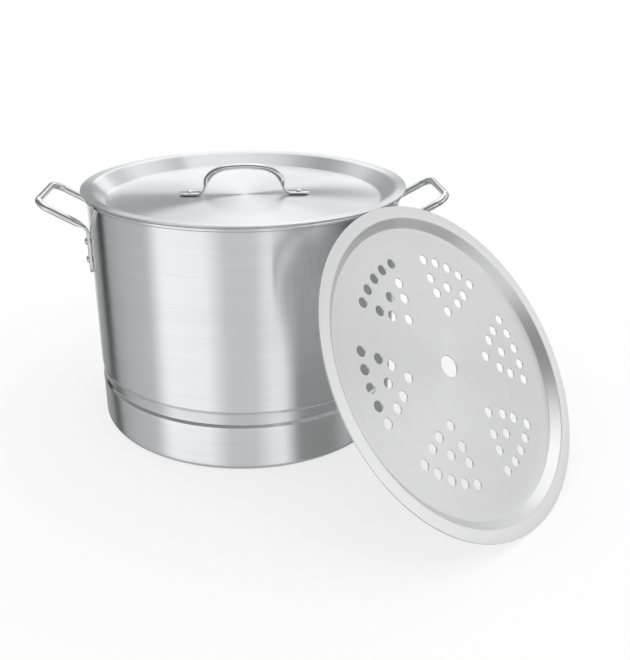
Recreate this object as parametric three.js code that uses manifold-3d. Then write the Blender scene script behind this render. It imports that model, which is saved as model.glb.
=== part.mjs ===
// A lidded aluminium stockpot with its steamer rack standing beside it.
// Millimetres, +Z up, front towards -Y. The origin is the middle of the base.
import * as THREE from 'three';
import { mergeVertices } from 'three/addons/utils/BufferGeometryUtils.js';
import Module from 'manifold-3d';

const wasm = await Module();
wasm.setup();

// Driving sizes of the pot.
const POT_HEIGHT = 288;
const RIM_WALL_RADIUS = 187.8;
const BASE_WALL_RADIUS = 184;
const WALL = 2;
const BASE_SHEET = 2.5;
const CORNER_RADIUS = 8;
const RIM_BEAD_OUT = 4.2;
const RIM_BEAD_TALL = 6;

// Rolled ledge low in the wall: a sharp return, a slanted band and a fine line above it.
const LEDGE_LINE = 73.2;
const RETURN_FOOT_DROP = 17.7;
const RETURN_TOP_DROP = 14.4;
const RETURN_DEPTH = 2.2;
const BAND_TOP_DROP = 1.3;
const BAND_TOP_DEPTH = 0.5;
const LINE_DEPTH = 1.1;
const LINE_TOP_RISE = 2.2;
const LEDGE = [
  { height: LEDGE_LINE - RETURN_FOOT_DROP, depth: 0 },
  { height: LEDGE_LINE - RETURN_TOP_DROP, depth: RETURN_DEPTH },
  { height: LEDGE_LINE - BAND_TOP_DROP, depth: BAND_TOP_DEPTH },
  { height: LEDGE_LINE, depth: LINE_DEPTH },
  { height: LEDGE_LINE + LINE_TOP_RISE, depth: 0 },
];

// Clearances between pieces that fit together.
const SEAT_GAP = 0.3;
const RACK_CLEARANCE = 0.9;
const HOLE_CLEARANCE = 0.3;
const TAIL_GAP = 0.7;
const LEAN_GAP = 0.3;

// Lid, a shallow dish whose thin flange rests on the rim bead and overhangs it.
const LID_SHEET = 1.5;
const LID_OVERHANG = 2;
const LID_RADIUS = RIM_WALL_RADIUS + RIM_BEAD_OUT + LID_OVERHANG;
const LID_FLANGE = 12;
const LID_SLOPE_RUN = 16;
const LID_RECESS = 16;
const LID_TOP = POT_HEIGHT + SEAT_GAP + LID_SHEET;
const PANEL_TOP = LID_TOP - LID_RECESS;

// Lid handle, a bent rod with flattened feet.
const LID_ROD = 3.8;
const LID_FOOT_HALF_WIDTH = 7;
const LID_FOOT_HALF_THICK = 1.6;
const LID_FOOT_END = 79;
const LID_FOOT_NOSE = 7;
const LID_FOOT_TO_ROD = 14;
const LID_FOOT_RIVET = 66;
const LID_LEG_REACH = 50;
const LID_ARCH_HEIGHT = 34.2;
const LID_ARCH_POWER = 0.74;

// Side handles, a bent rod with flattened legs riveted to the wall.
const SIDE_ROD = 4.3;
const LEG_HALF_WIDTH = 6.2;
const LEG_HALF_THICK = 2;
const HANDLE_HALF_WIDTH = 48.5;
const HANDLE_REACH = 51.5;
const HANDLE_RISE = 31;
const LEG_DROP = 40;
const LEG_LENGTH = 54;
const LEG_NOSE = 9;
const LEG_TO_ROD = 22;
const LEG_BEND = POT_HEIGHT - LEG_DROP;
const LEG_BOTTOM = LEG_BEND - LEG_LENGTH;
const BEND_RADIUS = 11;
const GRIP_RADIUS = 16;
const ROD_STEP = 24;
const UPPER_RIVET_DROP = 15.5;
const LOWER_RIVET_DROP = 37.5;
const RIVET_HEIGHTS = [LEG_BEND - LOWER_RIVET_DROP, LEG_BEND - UPPER_RIVET_DROP];

// Rivets.
const SHANK_RADIUS = 2.4;
const HEAD_RADIUS = 4.2;
const HEAD_TALL = 2.3;
const TAIL_RADIUS = 4.4;
const TAIL_TALL = 1.3;

// Steamer rack, sized to drop onto the ledge inside the pot.
const RACK_RADIUS = wallRadius(LEDGE_LINE) - WALL - RACK_CLEARANCE;
const RACK_SHEET = 1.5;
const RACK_FLANGE = 14;
const RACK_SLOPE_RUN = 8.5;
const RACK_RECESS = 10;
const RACK_CENTRE_HOLE = 11.9;
const RACK_HOLE = 5.7;
const RACK_GROUPS = 6;
const RACK_GROUP_TURN = 50;
const RACK_HEADING = -45;

const ROUND = 56;
const Z_AXIS = new THREE.Vector3(0, 0, 1);

/** Outside radius of the plain tapered wall at a height. */
function wallRadius(z) {
  return BASE_WALL_RADIUS + (RIM_WALL_RADIUS - BASE_WALL_RADIUS) * z / POT_HEIGHT;
}

/** A closed body from a geometry, with doubled points joined. */
function toSolid(geometry) {
  const bare = geometry.index ? geometry.toNonIndexed() : geometry.clone();
  bare.deleteAttribute('normal');
  bare.deleteAttribute('uv');
  const joined = mergeVertices(bare, 1e-4);
  const corners = [];
  const index = joined.index.array;
  for (let i = 0; i < index.length; i += 3) {
    const [a, b, c] = [index[i], index[i + 1], index[i + 2]];
    if (a !== b && b !== c && c !== a) {
      corners.push(a, b, c);
    }
  }
  return new wasm.Manifold(new wasm.Mesh({
    numProp: 3,
    vertProperties: new Float32Array(joined.attributes.position.array),
    triVerts: new Uint32Array(corners),
  }));
}

/** A geometry from a closed body. */
function toGeometry(solid) {
  const mesh = solid.getMesh();
  const geometry = new THREE.BufferGeometry();
  geometry.setAttribute('position', new THREE.BufferAttribute(new Float32Array(mesh.vertProperties), 3));
  geometry.setIndex(new THREE.BufferAttribute(new Uint32Array(mesh.triVerts), 1));
  return geometry;
}

/** A body turned about Z from a profile of [radius, height] points. */
function turned(profile, segments = ROUND) {
  const points = profile.map(([r, z]) => new THREE.Vector2(Math.max(r, 0), z));
  const lathe = new THREE.LatheGeometry(points, segments);
  lathe.rotateX(Math.PI / 2);
  return toSolid(lathe);
}

/** A body moved by a matrix. */
function placed(solid, matrix) {
  return toSolid(toGeometry(solid).applyMatrix4(matrix));
}

/** Matrix that lays local Z along an outward direction at a point. */
function along(direction, point) {
  const turn = new THREE.Quaternion().setFromUnitVectors(Z_AXIS, direction);
  return new THREE.Matrix4().compose(point, turn, new THREE.Vector3(1, 1, 1));
}

/** A round pin along a direction, used to cut holes. */
function pin(radius, from, to, direction, point, segments = 8) {
  const profile = [[0, from], [radius, from], [radius, to], [0, to]];
  return placed(turned(profile, segments), along(direction, point));
}

/** Pot wall, base and rim bead as one spun sheet. */
function potBody() {
  const outside = [[0, 0]];
  const innerWall = [];
  for (let i = 0; i <= 4; i += 1) {
    const angle = (Math.PI / 2) * (i / 4);
    const inset = CORNER_RADIUS * (1 - Math.sin(angle));
    const rise = CORNER_RADIUS * (1 - Math.cos(angle));
    outside.push([wallRadius(CORNER_RADIUS) - inset, rise]);
  }
  for (const { height, depth } of LEDGE) {
    outside.push([wallRadius(height) - depth, height]);
    innerWall.push([wallRadius(height) - WALL - depth, height]);
  }
  const rim = wallRadius(POT_HEIGHT);
  const bottom = POT_HEIGHT - RIM_BEAD_TALL;
  const bead = [
    [wallRadius(bottom), bottom],
    [rim + RIM_BEAD_OUT * 0.7, bottom + 0.2],
    [rim + RIM_BEAD_OUT, bottom + 1.8],
    [rim + RIM_BEAD_OUT, POT_HEIGHT - 2.4],
    [rim + RIM_BEAD_OUT * 0.8, POT_HEIGHT - 0.8],
    [rim + RIM_BEAD_OUT * 0.45, POT_HEIGHT],
    [rim - WALL + 0.6, POT_HEIGHT],
    [rim - WALL, POT_HEIGHT - 0.8],
  ];
  const floor = [];
  const inner = CORNER_RADIUS - WALL;
  for (let i = 0; i <= 4; i += 1) {
    const angle = (Math.PI / 2) * (i / 4);
    const inset = inner * (1 - Math.cos(angle));
    const rise = inner * (1 - Math.sin(angle));
    floor.push([wallRadius(CORNER_RADIUS) - WALL - inset, BASE_SHEET + rise]);
  }
  const profile = [...outside, ...bead, ...innerWall.reverse(), ...floor, [0, BASE_SHEET]];
  return turned(profile);
}

/** Lid dish with a flat panel, a sloped wall and a flat flange. */
function lidDish() {
  const slopeTop = LID_RADIUS - LID_FLANGE;
  const slopeFoot = slopeTop - LID_SLOPE_RUN;
  const under = LID_TOP - LID_SHEET;
  const thin = LID_SHEET * 0.6;
  const profile = [
    [0, PANEL_TOP - LID_SHEET],
    [slopeFoot - thin, PANEL_TOP - LID_SHEET],
    [slopeFoot + 1.6, PANEL_TOP - LID_SHEET + 1.1],
    [slopeTop - 1.8, under - 1],
    [slopeTop + 1.2, under],
    [LID_RADIUS - 0.5, under],
    [LID_RADIUS, under + 0.4],
    [LID_RADIUS, LID_TOP - 0.6],
    [LID_RADIUS - 0.7, LID_TOP],
    [slopeTop, LID_TOP],
    [slopeTop - 2.2, LID_TOP - 1.1],
    [slopeFoot + 1.2, PANEL_TOP + 0.9],
    [slopeFoot - 1.4, PANEL_TOP],
    [0, PANEL_TOP],
  ];
  return turned(profile);
}

/** Points along straight runs joined by round bends. */
function bentPath(corners, radii, perBend) {
  const path = [corners[0].clone()];
  for (let i = 1; i < corners.length - 1; i += 1) {
    const back = corners[i - 1].clone().sub(corners[i]).normalize();
    const ahead = corners[i + 1].clone().sub(corners[i]).normalize();
    const half = back.angleTo(ahead) / 2;
    const reach = radii[i - 1] / Math.tan(half);
    const centre = back.clone().add(ahead).normalize();
    centre.multiplyScalar(radii[i - 1] / Math.sin(half)).add(corners[i]);
    const first = corners[i].clone().addScaledVector(back, reach).sub(centre);
    const last = corners[i].clone().addScaledVector(ahead, reach).sub(centre);
    const sweep = first.angleTo(last);
    for (let k = 0; k <= perBend; k += 1) {
      const share = k / perBend;
      const point = first.clone().multiplyScalar(Math.sin((1 - share) * sweep) / Math.sin(sweep));
      point.addScaledVector(last, Math.sin(share * sweep) / Math.sin(sweep));
      path.push(point.add(centre));
    }
  }
  path.push(corners[corners.length - 1].clone());
  return path;
}

/** Extra points on the runs of a path so that no step is longer than a limit. */
function withSteps(path, limit) {
  const out = [path[0].clone()];
  for (let i = 1; i < path.length; i += 1) {
    const count = Math.ceil(path[i].distanceTo(path[i - 1]) / limit);
    for (let k = 1; k <= count; k += 1) {
      out.push(path[i - 1].clone().lerp(path[i], k / count));
    }
  }
  return out;
}

/**
 * A rod lofted along a path. The section changes from flat to round along
 * the way: shape(distance) gives [half width, half thickness].
 */
function rod(path, firstThickness, shape, sides = 10) {
  const tangents = path.map((_, i) => {
    const a = path[Math.max(i - 1, 0)];
    const b = path[Math.min(i + 1, path.length - 1)];
    return b.clone().sub(a).normalize();
  });
  const positions = [];
  const index = [];
  let thickness = firstThickness.clone();
  let distance = 0;
  for (let i = 0; i < path.length; i += 1) {
    if (i > 0) {
      const turn = new THREE.Quaternion().setFromUnitVectors(tangents[i - 1], tangents[i]);
      thickness.applyQuaternion(turn);
      distance += path[i].distanceTo(path[i - 1]);
    }
    thickness.addScaledVector(tangents[i], -thickness.dot(tangents[i])).normalize();
    const width = tangents[i].clone().cross(thickness);
    const [halfWidth, halfThick] = shape(distance);
    const flat = Math.min(1, Math.max(0, (halfWidth / halfThick - 1) / 2));
    const power = 1 - 0.5 * flat;
    for (let k = 0; k < sides; k += 1) {
      const angle = 2 * Math.PI * (k + 0.5) / sides;
      const [c, s] = [Math.cos(angle), Math.sin(angle)];
      const across = halfWidth * Math.sign(c) * Math.abs(c) ** power;
      const up = halfThick * Math.sign(s) * Math.abs(s) ** power;
      const point = path[i].clone().addScaledVector(width, across).addScaledVector(thickness, up);
      positions.push(point.x, point.y, point.z);
    }
  }
  const rings = path.length;
  for (let i = 0; i < rings - 1; i += 1) {
    for (let k = 0; k < sides; k += 1) {
      const next = (k + 1) % sides;
      const [a, b] = [i * sides + k, i * sides + next];
      index.push(a, b + sides, b, a, a + sides, b + sides);
    }
  }
  for (let k = 1; k < sides - 1; k += 1) {
    index.push(0, k, k + 1);
    const end = (rings - 1) * sides;
    index.push(end, end + k + 1, end + k);
  }
  const geometry = new THREE.BufferGeometry();
  geometry.setAttribute('position', new THREE.Float32BufferAttribute(positions, 3));
  geometry.setIndex(index);
  return toSolid(geometry);
}

/** Blend from 0 to 1 between two distances. */
function blend(from, to, distance) {
  return THREE.MathUtils.smoothstep(distance, from, to);
}

/** Half sizes of a rod whose two ends are flattened and rounded off. */
function flattenedEnds(total, radius, halfWidth, halfThick, flatEnd, roundStart, nose) {
  return (distance) => {
    const near = Math.min(distance, total - distance);
    const toRound = blend(flatEnd, roundStart, near);
    const cut = Math.min(1, near / nose);
    const round = 0.45 + 0.55 * Math.sqrt(1 - (1 - cut) ** 2);
    const width = THREE.MathUtils.lerp(halfWidth, radius, toRound) * round;
    return [width, THREE.MathUtils.lerp(halfThick, radius, toRound)];
  };
}

/** Length of a path. */
function pathLength(path) {
  let total = 0;
  for (let i = 1; i < path.length; i += 1) {
    total += path[i].distanceTo(path[i - 1]);
  }
  return total;
}

/** Outward direction of the wall where a handle leg sits. */
function legDirection(side, end) {
  const angle = Math.asin(HANDLE_HALF_WIDTH / wallRadius(LEG_BEND));
  return new THREE.Vector3(side * Math.cos(angle), end * Math.sin(angle), 0);
}

/** Middle of a flattened leg at a height. */
function legPoint(side, end, z) {
  const radius = wallRadius(z) + SEAT_GAP + LEG_HALF_THICK;
  return legDirection(side, end).multiplyScalar(radius).setZ(z);
}

/** Rod handle on one side, with rivet holes through its legs. */
function sideHandle(side) {
  const grip = (end) => new THREE.Vector3(
    side * (wallRadius(LEG_BEND) + HANDLE_REACH),
    end * HANDLE_HALF_WIDTH,
    LEG_BEND + HANDLE_RISE,
  );
  const corners = [
    legPoint(side, -1, LEG_BOTTOM),
    legPoint(side, -1, LEG_BEND),
    grip(-1),
    grip(1),
    legPoint(side, 1, LEG_BEND),
    legPoint(side, 1, LEG_BOTTOM),
  ];
  const radii = [BEND_RADIUS, GRIP_RADIUS, GRIP_RADIUS, BEND_RADIUS];
  const ends = [2, 5, LEG_NOSE];
  const bent = bentPath(corners, radii, 5);
  const path = withSteps([bent[0], ...nosePoints(bent, ends), ...bent.slice(1, -1),
    ...nosePoints([...bent].reverse(), ends).reverse(), bent[bent.length - 1]], ROD_STEP);
  const leg = LEG_LENGTH;
  const total = pathLength(path);
  const shape = flattenedEnds(total, SIDE_ROD, LEG_HALF_WIDTH, LEG_HALF_THICK, leg, leg + LEG_TO_ROD, LEG_NOSE);
  let solid = rod(path, legDirection(side, -1), shape);
  for (const end of [-1, 1]) {
    for (const z of RIVET_HEIGHTS) {
      solid = solid.subtract(rivetHole(side, end, z));
    }
  }
  return solid;
}

/** Points just inside the start of a path, where its end is rounded off. */
function nosePoints(path, distances) {
  const direction = path[1].clone().sub(path[0]).normalize();
  return distances.map((d) => path[0].clone().addScaledVector(direction, d));
}

/** Clearance hole for a side rivet, through leg and wall. */
function rivetHole(side, end, z) {
  const direction = legDirection(side, end);
  const point = legPoint(side, end, z);
  return pin(SHANK_RADIUS + HOLE_CLEARANCE, -12, 8, direction, point);
}

/** A rivet with its head outside and its tail inside a stack of sheets. */
function rivet(stack, direction, headSeat) {
  const profile = [
    [0, -stack - TAIL_GAP - TAIL_TALL],
    [TAIL_RADIUS * 0.7, -stack - TAIL_GAP - TAIL_TALL * 0.85],
    [TAIL_RADIUS, -stack - TAIL_GAP - TAIL_TALL * 0.35],
    [TAIL_RADIUS, -stack - TAIL_GAP],
    [SHANK_RADIUS, -stack - TAIL_GAP],
    [SHANK_RADIUS, SEAT_GAP],
    [HEAD_RADIUS, SEAT_GAP],
    [HEAD_RADIUS * 0.95, SEAT_GAP + HEAD_TALL * 0.4],
    [HEAD_RADIUS * 0.6, SEAT_GAP + HEAD_TALL * 0.85],
    [0, SEAT_GAP + HEAD_TALL],
  ];
  return placed(turned(profile, 8), along(direction, headSeat));
}

/** Rivet through a side handle leg and the pot wall. */
function sideRivet(side, end, z) {
  const direction = legDirection(side, end);
  const seat = legPoint(side, end, z).addScaledVector(direction, LEG_HALF_THICK);
  return rivet(2 * LEG_HALF_THICK + SEAT_GAP + WALL, direction, seat);
}

/** Arched lid handle with flattened feet, and a rivet hole in each foot. */
function lidHandle() {
  const foot = PANEL_TOP + SEAT_GAP + LID_FOOT_HALF_THICK;
  const rise = LID_ARCH_HEIGHT - LID_FOOT_HALF_THICK;
  const span = LID_LEG_REACH * 0.96;
  const half = [0, 1.5, 4, 7].map((d) => [LID_FOOT_END - d, 0]);
  half.push([LID_LEG_REACH + 8, 0], [LID_LEG_REACH + 3.4, 0.7], [LID_LEG_REACH + 0.4, 3]);
  for (const angle of [8, 18, 29, 42, 56, 71]) {
    const turn = THREE.MathUtils.degToRad(angle);
    half.push([span * Math.cos(turn) ** LID_ARCH_POWER, rise * Math.sin(turn) ** LID_ARCH_POWER]);
  }
  const top = [0, rise];
  const left = half.map(([x, z]) => [-x, z]);
  const points = [...left, top, ...half.reverse()];
  const path = points.map(([x, z]) => new THREE.Vector3(x, 0, foot + z));
  const flat = LID_FOOT_END - LID_LEG_REACH + 4;
  const shape = flattenedEnds(pathLength(path), LID_ROD, LID_FOOT_HALF_WIDTH, LID_FOOT_HALF_THICK,
    flat, flat + LID_FOOT_TO_ROD, LID_FOOT_NOSE);
  let solid = rod(path, Z_AXIS, shape);
  for (const side of [-1, 1]) {
    solid = solid.subtract(lidRivetHole(side));
  }
  return solid;
}

/** Clearance hole for a lid rivet, through foot and panel. */
function lidRivetHole(side) {
  const point = new THREE.Vector3(side * LID_FOOT_RIVET, 0, PANEL_TOP);
  return pin(SHANK_RADIUS + HOLE_CLEARANCE, -8, 8, Z_AXIS, point);
}

/** Rivet through a lid handle foot and the lid panel. */
function lidRivet(side) {
  const stack = 2 * LID_FOOT_HALF_THICK + SEAT_GAP + LID_SHEET;
  const seat = new THREE.Vector3(side * LID_FOOT_RIVET, 0, PANEL_TOP + stack - LID_SHEET);
  return rivet(stack, Z_AXIS, seat);
}

/** Places of the holes in one group, as [radius share, angle in degrees]. */
function rackGroup() {
  const group = [[0.367, 0], [0.537, 0]];
  for (const angle of [-17.2, -8.6, 0, 8.6, 17.2]) {
    group.push([0.677, angle]);
  }
  for (const side of [-1, 1]) {
    group.push([0.558, side * 14.6], [0.469, side * 10.9]);
  }
  return group;
}

/** Perforated steamer rack lying flat, its hollow side up. */
function flatRack() {
  const slopeTop = RACK_RADIUS - RACK_FLANGE;
  const slopeFoot = slopeTop - RACK_SLOPE_RUN;
  const profile = [
    [0, -RACK_RECESS],
    [slopeFoot - 0.8, -RACK_RECESS],
    [slopeFoot + 1.4, -RACK_RECESS + 0.9],
    [slopeTop - 0.6, -0.9],
    [slopeTop + 1.4, 0],
    [RACK_RADIUS - 0.4, 0],
    [RACK_RADIUS, 0.4],
    [RACK_RADIUS, RACK_SHEET - 0.4],
    [RACK_RADIUS - 0.4, RACK_SHEET],
    [slopeTop, RACK_SHEET],
    [slopeTop - 2.2, RACK_SHEET - 1],
    [slopeFoot + 0.4, RACK_SHEET - RACK_RECESS + 0.8],
    [slopeFoot - 1.6, RACK_SHEET - RACK_RECESS],
    [0, RACK_SHEET - RACK_RECESS],
  ];
  let solid = turned(profile);
  const bottom = -RACK_RECESS - 2;
  const top = RACK_SHEET - RACK_RECESS + 2;
  const holes = [pin(RACK_CENTRE_HOLE, bottom, top, Z_AXIS, new THREE.Vector3(), 20)];
  for (let k = 0; k < RACK_GROUPS; k += 1) {
    for (const [share, angle] of rackGroup()) {
      const turn = THREE.MathUtils.degToRad(angle + RACK_GROUP_TURN + k * 360 / RACK_GROUPS);
      const radius = share * RACK_RADIUS;
      const point = new THREE.Vector3(radius * Math.cos(turn), radius * Math.sin(turn), 0);
      holes.push(pin(RACK_HOLE, bottom, top, Z_AXIS, point));
    }
  }
  for (const hole of holes) {
    solid = solid.subtract(hole);
  }
  return solid;
}

/** Matrix that stands the rack on the floor, leaning against the lid's edge. */
function rackStand() {
  const touch = LID_TOP - 0.9;
  const lean = Math.acos(touch / (2 * RACK_RADIUS));
  const heading = THREE.MathUtils.degToRad(RACK_HEADING);
  const out = new THREE.Vector3(Math.cos(heading), Math.sin(heading), 0);
  const face = out.clone().multiplyScalar(Math.cos(lean)).setZ(Math.sin(lean));
  const slope = out.clone().multiplyScalar(-Math.sin(lean)).setZ(Math.cos(lean));
  const across = slope.clone().cross(face);
  const far = LID_RADIUS + LEAN_GAP + RACK_RADIUS * Math.sin(lean);
  const middle = out.clone().multiplyScalar(far).setZ(RACK_RADIUS * Math.cos(lean));
  return new THREE.Matrix4().makeBasis(across, slope, face).setPosition(middle);
}

/** Material with a colour and a finish. */
function finish(colour, roughness) {
  return new THREE.MeshStandardMaterial({ color: colour, roughness, metalness: 1 });
}

const spun = () => finish(0xc9cacb, 0.3);
const satin = () => finish(0xd6d6d5, 0.42);
const bright = () => finish(0xd9dadc, 0.12);
const rivetMetal = () => finish(0xc4c5c6, 0.34);

const pot = new THREE.Group();
pot.name = 'stockpot';

/** Adds one named piece to the pot. */
function add(name, solid, material) {
  const mesh = new THREE.Mesh(toGeometry(solid), material);
  mesh.name = name;
  pot.add(mesh);
}

let body = potBody();
for (const side of [-1, 1]) {
  for (const end of [-1, 1]) {
    for (const z of RIVET_HEIGHTS) {
      body = body.subtract(rivetHole(side, end, z));
    }
  }
}
add('pot_body', body, spun());

let dish = lidDish();
for (const side of [-1, 1]) {
  dish = dish.subtract(lidRivetHole(side));
}
add('lid', dish, spun());
add('lid_handle', lidHandle(), bright());

const SIDES = { left: -1, right: 1 };
const ENDS = { front: -1, back: 1 };
const ROWS = ['lower', 'upper'];
for (const [sideName, side] of Object.entries(SIDES)) {
  add(`lid_rivet_${sideName}`, lidRivet(side), rivetMetal());
  add(`side_handle_${sideName}`, sideHandle(side), bright());
  for (const [endName, end] of Object.entries(ENDS)) {
    RIVET_HEIGHTS.forEach((z, row) => {
      add(`rivet_${sideName}_${endName}_${ROWS[row]}`, sideRivet(side, end, z), rivetMetal());
    });
  }
}
add('steamer_rack', placed(flatRack(), rackStand()), satin());

export default pot;
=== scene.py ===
"""Dresses a lidded aluminium stockpot and the steamer rack that leans on it."""

import logging
import math
from collections.abc import Sequence
from dataclasses import dataclass, field
from enum import Enum

import bmesh
import bpy
from mathutils import Matrix, Vector

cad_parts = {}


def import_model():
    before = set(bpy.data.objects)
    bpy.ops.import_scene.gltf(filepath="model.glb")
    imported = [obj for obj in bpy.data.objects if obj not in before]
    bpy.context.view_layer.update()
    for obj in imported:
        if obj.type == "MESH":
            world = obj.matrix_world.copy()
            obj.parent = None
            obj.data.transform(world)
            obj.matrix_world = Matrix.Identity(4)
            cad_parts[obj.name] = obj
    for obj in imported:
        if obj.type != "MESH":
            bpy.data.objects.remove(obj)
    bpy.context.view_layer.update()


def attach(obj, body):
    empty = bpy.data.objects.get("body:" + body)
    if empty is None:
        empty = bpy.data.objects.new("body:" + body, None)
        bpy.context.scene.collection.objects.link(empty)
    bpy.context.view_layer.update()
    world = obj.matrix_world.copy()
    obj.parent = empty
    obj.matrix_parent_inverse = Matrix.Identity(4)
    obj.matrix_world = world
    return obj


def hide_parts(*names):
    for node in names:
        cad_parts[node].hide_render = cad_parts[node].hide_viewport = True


LOG = logging.getLogger("stockpot")
FRAME_WIDTH = 630
BUMP_DEPTH = 0.0002
SENSOR_WIDTH = 36.0
UP = Vector((0, 0, 1))


class Side(Enum):
    """Left and right of the pot, as signs along X."""

    LEFT = -1
    RIGHT = 1


class End(Enum):
    """Front and back leg of a side handle, as signs along Y."""

    FRONT = -1
    BACK = 1


class Body(Enum):
    """Rigid bodies that pieces ride on."""

    POT = "pot"
    LID = "lid"
    RACK = "rack"


class Slot(Enum):
    """Material slots of the record."""

    SPUN = "spun_aluminium"
    SATIN = "satin_aluminium"
    BRIGHT = "bright_steel"
    RIVET = "rivet_aluminium"


@dataclass(frozen=True)
class PotSizes:
    """Sizes that more than one piece shares, in metres."""

    height: float = 0.288
    rim_radius: float = 0.1878
    base_radius: float = 0.184
    wall: float = 0.002
    base_sheet: float = 0.0025
    corner: float = 0.008
    bead_out: float = 0.0042
    bead_tall: float = 0.006
    seat_gap: float = 0.0003
    lid_overhang: float = 0.002
    lid_sheet: float = 0.0015
    lid_recess: float = 0.016
    rack_clearance: float = 0.0009
    ledge_line: float = 0.0732
    ledge_rises: tuple[float, ...] = (-0.023, -0.0177, -0.0144, -0.0013, 0.0, 0.0022, 0.007)
    ledge_depths: tuple[float, ...] = (0.0, 0.0, 0.0022, 0.0005, 0.0011, 0.0, 0.0)

    def wall_radius(self, z: float) -> float:
        """Outside radius of the plain tapered wall at a height."""
        return self.base_radius + (self.rim_radius - self.base_radius) * z / self.height

    @property
    def lid_radius(self) -> float:
        """Outside radius of the lid's flange."""
        return self.rim_radius + self.bead_out + self.lid_overhang

    @property
    def lid_top(self) -> float:
        """Height of the lid's flange."""
        return self.height + self.seat_gap + self.lid_sheet

    @property
    def panel_top(self) -> float:
        """Height of the lid's sunken panel."""
        return self.lid_top - self.lid_recess

    @property
    def rack_radius(self) -> float:
        """Outside radius of the rack, which drops onto the ledge."""
        return self.wall_radius(self.ledge_line) - self.wall - self.rack_clearance


class Canvas:
    """A node tree with short calls to add and join nodes."""

    def __init__(self, tree: bpy.types.NodeTree) -> None:
        """Clears a tree and keeps it.

        Args:
            tree: The node tree to fill.
        """
        self.tree = tree
        tree.nodes.clear()

    def add(self, kind: str, **values: object) -> bpy.types.Node:
        """Adds a node and sets its properties.

        Args:
            kind: The node's type name without the ShaderNode prefix.
            **values: Properties of the node.

        Returns:
            The new node.
        """
        node = self.tree.nodes.new("ShaderNode" + kind)
        for name, value in values.items():
            setattr(node, name, value)
        return node

    def join(self, source: bpy.types.NodeSocket, target: bpy.types.NodeSocket) -> None:
        """Links one socket to another."""
        self.tree.links.new(source, target)

    def feed(self, node: bpy.types.Node, index: int | str, value: object) -> None:
        """Sets an input to a value, or links it where the value is a socket.

        Args:
            node: The node that takes the value.
            index: The input's name or number.
            value: A socket, a number, a colour or a vector.
        """
        if isinstance(value, bpy.types.NodeSocket):
            self.join(value, node.inputs[index])
        else:
            node.inputs[index].default_value = value

    def math(self, operation: str, first: object, second: object = 0.0) -> bpy.types.NodeSocket:
        """Adds a maths node.

        Args:
            operation: The operation's name.
            first: First number or socket.
            second: Second number or socket.

        Returns:
            The result's socket.
        """
        node = self.add("Math", operation=operation)
        self.feed(node, 0, first)
        self.feed(node, 1, second)
        return node.outputs[0]

    def vector(self, operation: str, first: object, second: object = (0, 0, 0)) -> bpy.types.Node:
        """Adds a vector maths node and returns it.

        Args:
            operation: The operation's name.
            first: First vector or socket.
            second: Second vector or socket.

        Returns:
            The new node.
        """
        node = self.add("VectorMath", operation=operation)
        self.feed(node, 0, first)
        self.feed(node, 1, second)
        return node

    def spread(
        self, value: object, low: float, high: float, to_low: float, to_high: float
    ) -> bpy.types.NodeSocket:
        """Maps a value from one range to another.

        Args:
            value: The socket to map.
            low: Start of the source range.
            high: End of the source range.
            to_low: Start of the result's range.
            to_high: End of the result's range.

        Returns:
            The result's socket.
        """
        node = self.add("MapRange")
        for index, number in enumerate((value, low, high, to_low, to_high)):
            self.feed(node, index, number)
        return node.outputs[0]

    def rise(self, value: object, low: float, high: float) -> bpy.types.NodeSocket:
        """A share that goes from 0 to 1 over a range."""
        return self.spread(value, low, high, 0.0, 1.0)

    def fall(self, value: object, low: float, high: float) -> bpy.types.NodeSocket:
        """A share that goes from 1 to 0 over a range."""
        return self.spread(value, low, high, 1.0, 0.0)

    def times(self, first: object, second: object) -> bpy.types.NodeSocket:
        """Multiplies two numbers or sockets."""
        return self.math("MULTIPLY", first, second)

    def noise(
        self, vector: object, scale: float, detail: float, roughness: float = 0.5
    ) -> bpy.types.NodeSocket:
        """Adds a noise texture.

        Args:
            vector: Socket with the place to read.
            scale: Noise scale.
            detail: Number of octaves.
            roughness: Weight of the finer octaves.

        Returns:
            The noise value's socket.
        """
        node = self.add("TexNoise")
        self.feed(node, "Vector", vector)
        node.inputs["Scale"].default_value = scale
        node.inputs["Detail"].default_value = detail
        node.inputs["Roughness"].default_value = roughness
        return node.outputs[0]

    def mix(self, share: object, first: object, second: object) -> bpy.types.NodeSocket:
        """Mixes two colours.

        Args:
            share: Weight of the second colour.
            first: First colour or socket.
            second: Second colour or socket.

        Returns:
            The mixed colour's socket.
        """
        node = self.add("Mix", data_type="RGBA")
        self.feed(node, 0, share)
        self.feed(node, 6, first)
        self.feed(node, 7, second)
        return node.outputs[2]


def grey(level: float, warm: float = 0.0) -> tuple[float, float, float, float]:
    """A grey with a touch of warmth.

    Args:
        level: Brightness.
        warm: Positive for warmer, negative for cooler.

    Returns:
        The colour with full opacity.
    """
    return (level * (1 + warm), level, level * (1 - warm), 1.0)


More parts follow.
